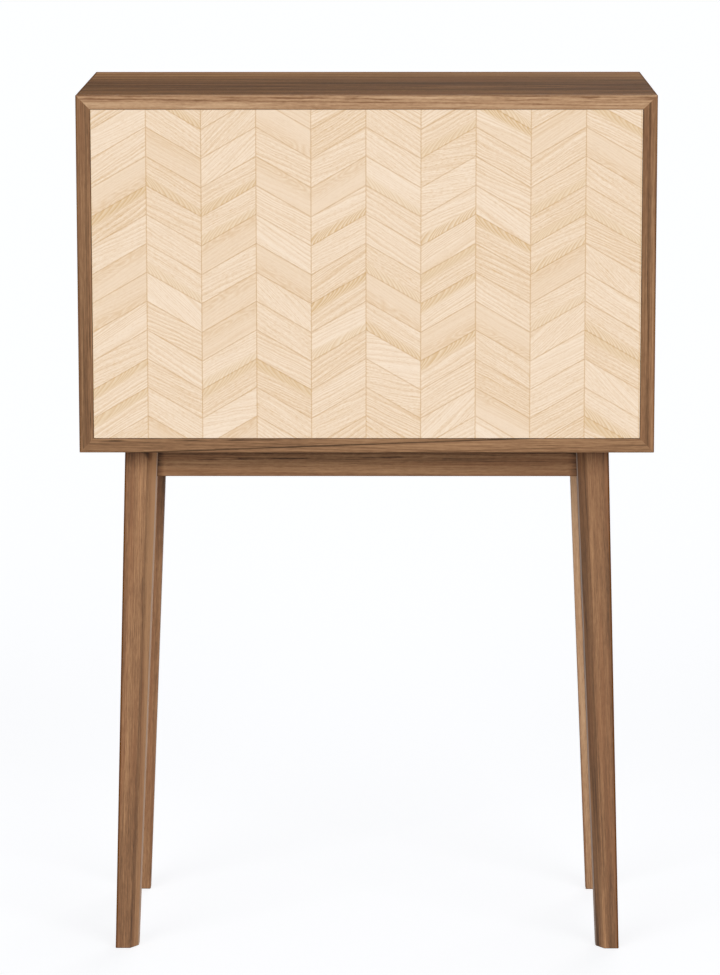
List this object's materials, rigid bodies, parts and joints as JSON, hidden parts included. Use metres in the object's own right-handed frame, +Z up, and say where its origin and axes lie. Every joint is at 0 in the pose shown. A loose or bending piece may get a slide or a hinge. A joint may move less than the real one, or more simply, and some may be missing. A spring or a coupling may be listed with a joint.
{
  "type": "drop-front bar cabinet",
  "caption": "Tall bar cabinet on splayed, tapered legs: mitred walnut case with a flush oak chevron fall flap on concealed hinges and slotted stays.",
  "frame": {"origin": "middle of the cabinet's footprint, on the floor", "axes": "+Z up, +X to the right seen from the front, +Y to the back; the front faces -Y"},
  "size_m": [0.85, 0.45, 1.2985],
  "materials": {
    "walnut": "matt oiled walnut veneer and solid walnut",
    "pale_walnut": "matt oiled walnut, paler sapwood strip",
    "oak_staves": "matt lacquered white oak staves",
    "oak_board": "matt lacquered oak-veneered board",
    "beech": "plain planed beech",
    "plated_steel": "zinc-plated steel",
    "die_cast_zinc": "nickel-plated die casting",
    "black_nylon": "moulded nylon"
  },
  "bodies": {
    "cabinet": {"top_panel": "walnut", "bottom_panel": "walnut", "left_side_panel": "walnut", "right_side_panel": "walnut", "bottom_lipping": "walnut", "left_lipping": "walnut", "right_lipping": "walnut", "back_panel": "walnut", "shelf": "walnut", "shelf_lipping": "walnut", "front_left_leg": "walnut", "front_right_leg": "walnut", "rear_left_leg": "walnut", "rear_right_leg": "walnut", "front_apron": "walnut", "rear_apron": "walnut", "left_apron": "walnut", "right_apron": "walnut", "top_lipping": "pale_walnut", "mitre_keys": "beech", "apron_dowels": "beech", "front_left_block": "beech", "front_right_block": "beech", "rear_left_block": "beech", "rear_right_block": "beech", "back_panel_screws": "plated_steel", "shelf_pins": "plated_steel", "block_screws": "plated_steel", "case_screws": "plated_steel", "hinge_base_screws": "plated_steel", "hinge_pins": "plated_steel", "stud_screws": "plated_steel", "latch_screws": "plated_steel", "left_hinge_base": "die_cast_zinc", "right_hinge_base": "die_cast_zinc", "left_stay_stud": "die_cast_zinc", "right_stay_stud": "die_cast_zinc", "latch_body": "black_nylon"},
    "flap": {"flap_core": "oak_board", "flap_lipping": "oak_board", "chevron_column_1": "oak_staves", "chevron_column_2": "oak_staves", "chevron_column_3": "oak_staves", "chevron_column_4": "oak_staves", "chevron_column_5": "oak_staves", "chevron_column_6": "oak_staves", "chevron_column_7": "oak_staves", "chevron_column_8": "oak_staves", "chevron_column_9": "oak_staves", "chevron_column_10": "oak_staves", "left_hinge_arm": "plated_steel", "right_hinge_arm": "plated_steel", "left_stay_bracket": "die_cast_zinc", "right_stay_bracket": "die_cast_zinc", "latch_strike": "die_cast_zinc", "flap_screws": "plated_steel"},
    "left_stay": {"left_stay_arm": "plated_steel"},
    "right_stay": {"right_stay_arm": "plated_steel"},
    "plunger": {"latch_plunger": "black_nylon"}
  },
  "joints": [
    {"name": "flap_hinge", "type": "hinge", "parent": "cabinet", "child": "flap", "pos_m": [0, -0.2155, 0.779], "axis": [1, 0, 0], "range_deg": [0, 90]},
    {"name": "left_stay_pivot", "type": "hinge", "parent": "flap", "child": "left_stay", "pos_m": [-0.4, -0.1905, 0.97743], "axis": [1, 0, 0], "range_deg": [-45, 0]},
    {"name": "right_stay_pivot", "type": "hinge", "parent": "flap", "child": "right_stay", "pos_m": [0.4, -0.1905, 0.97743], "axis": [1, 0, 0], "range_deg": [-45, 0]},
    {"name": "latch_slide", "type": "slide", "parent": "cabinet", "child": "plunger", "axis": [0, -1, 0], "range_m": [0, 0.009]}
  ],
  "couplings": [
    {"joint": "left_stay_pivot", "follows": "flap_hinge", "ratio": -0.5},
    {"joint": "right_stay_pivot", "follows": "flap_hinge", "ratio": -0.5},
    {"joint": "latch_slide", "follows": "flap_hinge", "m_per_rad": 0.0057295}
  ]
}
